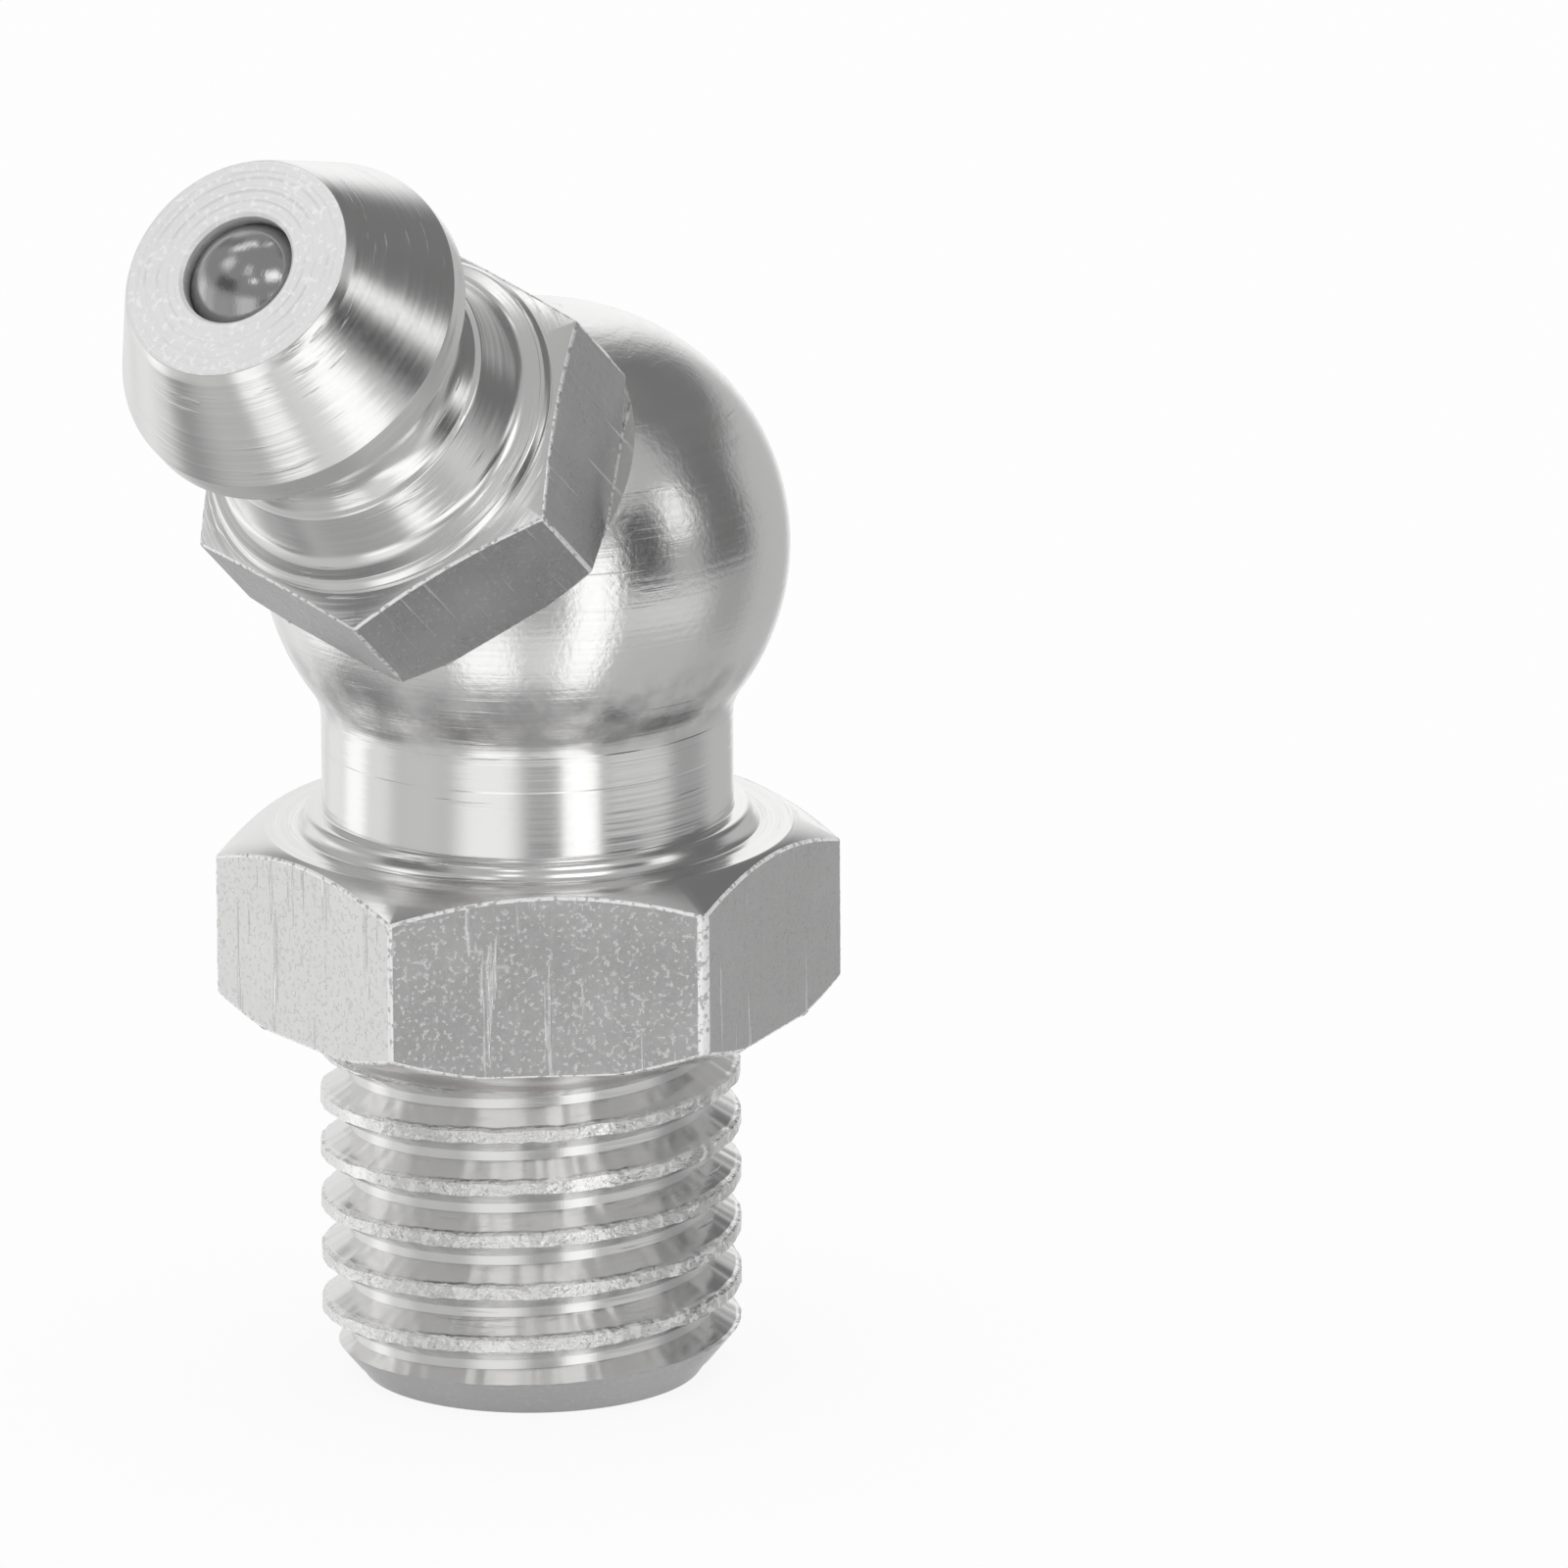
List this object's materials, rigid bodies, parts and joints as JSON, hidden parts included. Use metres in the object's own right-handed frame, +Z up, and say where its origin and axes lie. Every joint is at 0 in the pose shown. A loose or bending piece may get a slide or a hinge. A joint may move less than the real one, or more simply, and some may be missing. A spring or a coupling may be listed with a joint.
{
  "type": "grease nipple",
  "caption": "Angled grease nipple: threaded shank, large hexagon, ball elbow and a leaning hexagon head with a spring-loaded check ball.",
  "frame": {"origin": "middle of the threaded end face, where the grease bore opens", "axes": "+Z up the thread's axis towards the ball, the head leans towards -X, +Y completes a right-handed frame"},
  "size_m": [0.0164, 0.0106, 0.0246],
  "materials": {
    "body_steel": "bright zinc-plated turned steel with turning lines and milled flats",
    "head_steel": "bright zinc-plated turned steel, concentric tool marks on the face",
    "ball_steel": "dull rolled steel ball",
    "spring_wire": "drawn spring wire"
  },
  "bodies": {
    "nipple": {"elbow_body": "body_steel", "nipple_head": "head_steel", "ball_spring": "spring_wire"},
    "valve_ball": {"check_ball": "ball_steel"}
  },
  "joints": [
    {"name": "ball_slide", "type": "slide", "parent": "nipple", "child": "valve_ball", "axis": [0.7598, 0, -0.6501], "range_m": [0, 0.0008], "stiffness_N_per_m": 1250, "springref_m": -0.0008, "deforming": ["ball_spring"]}
  ]
}
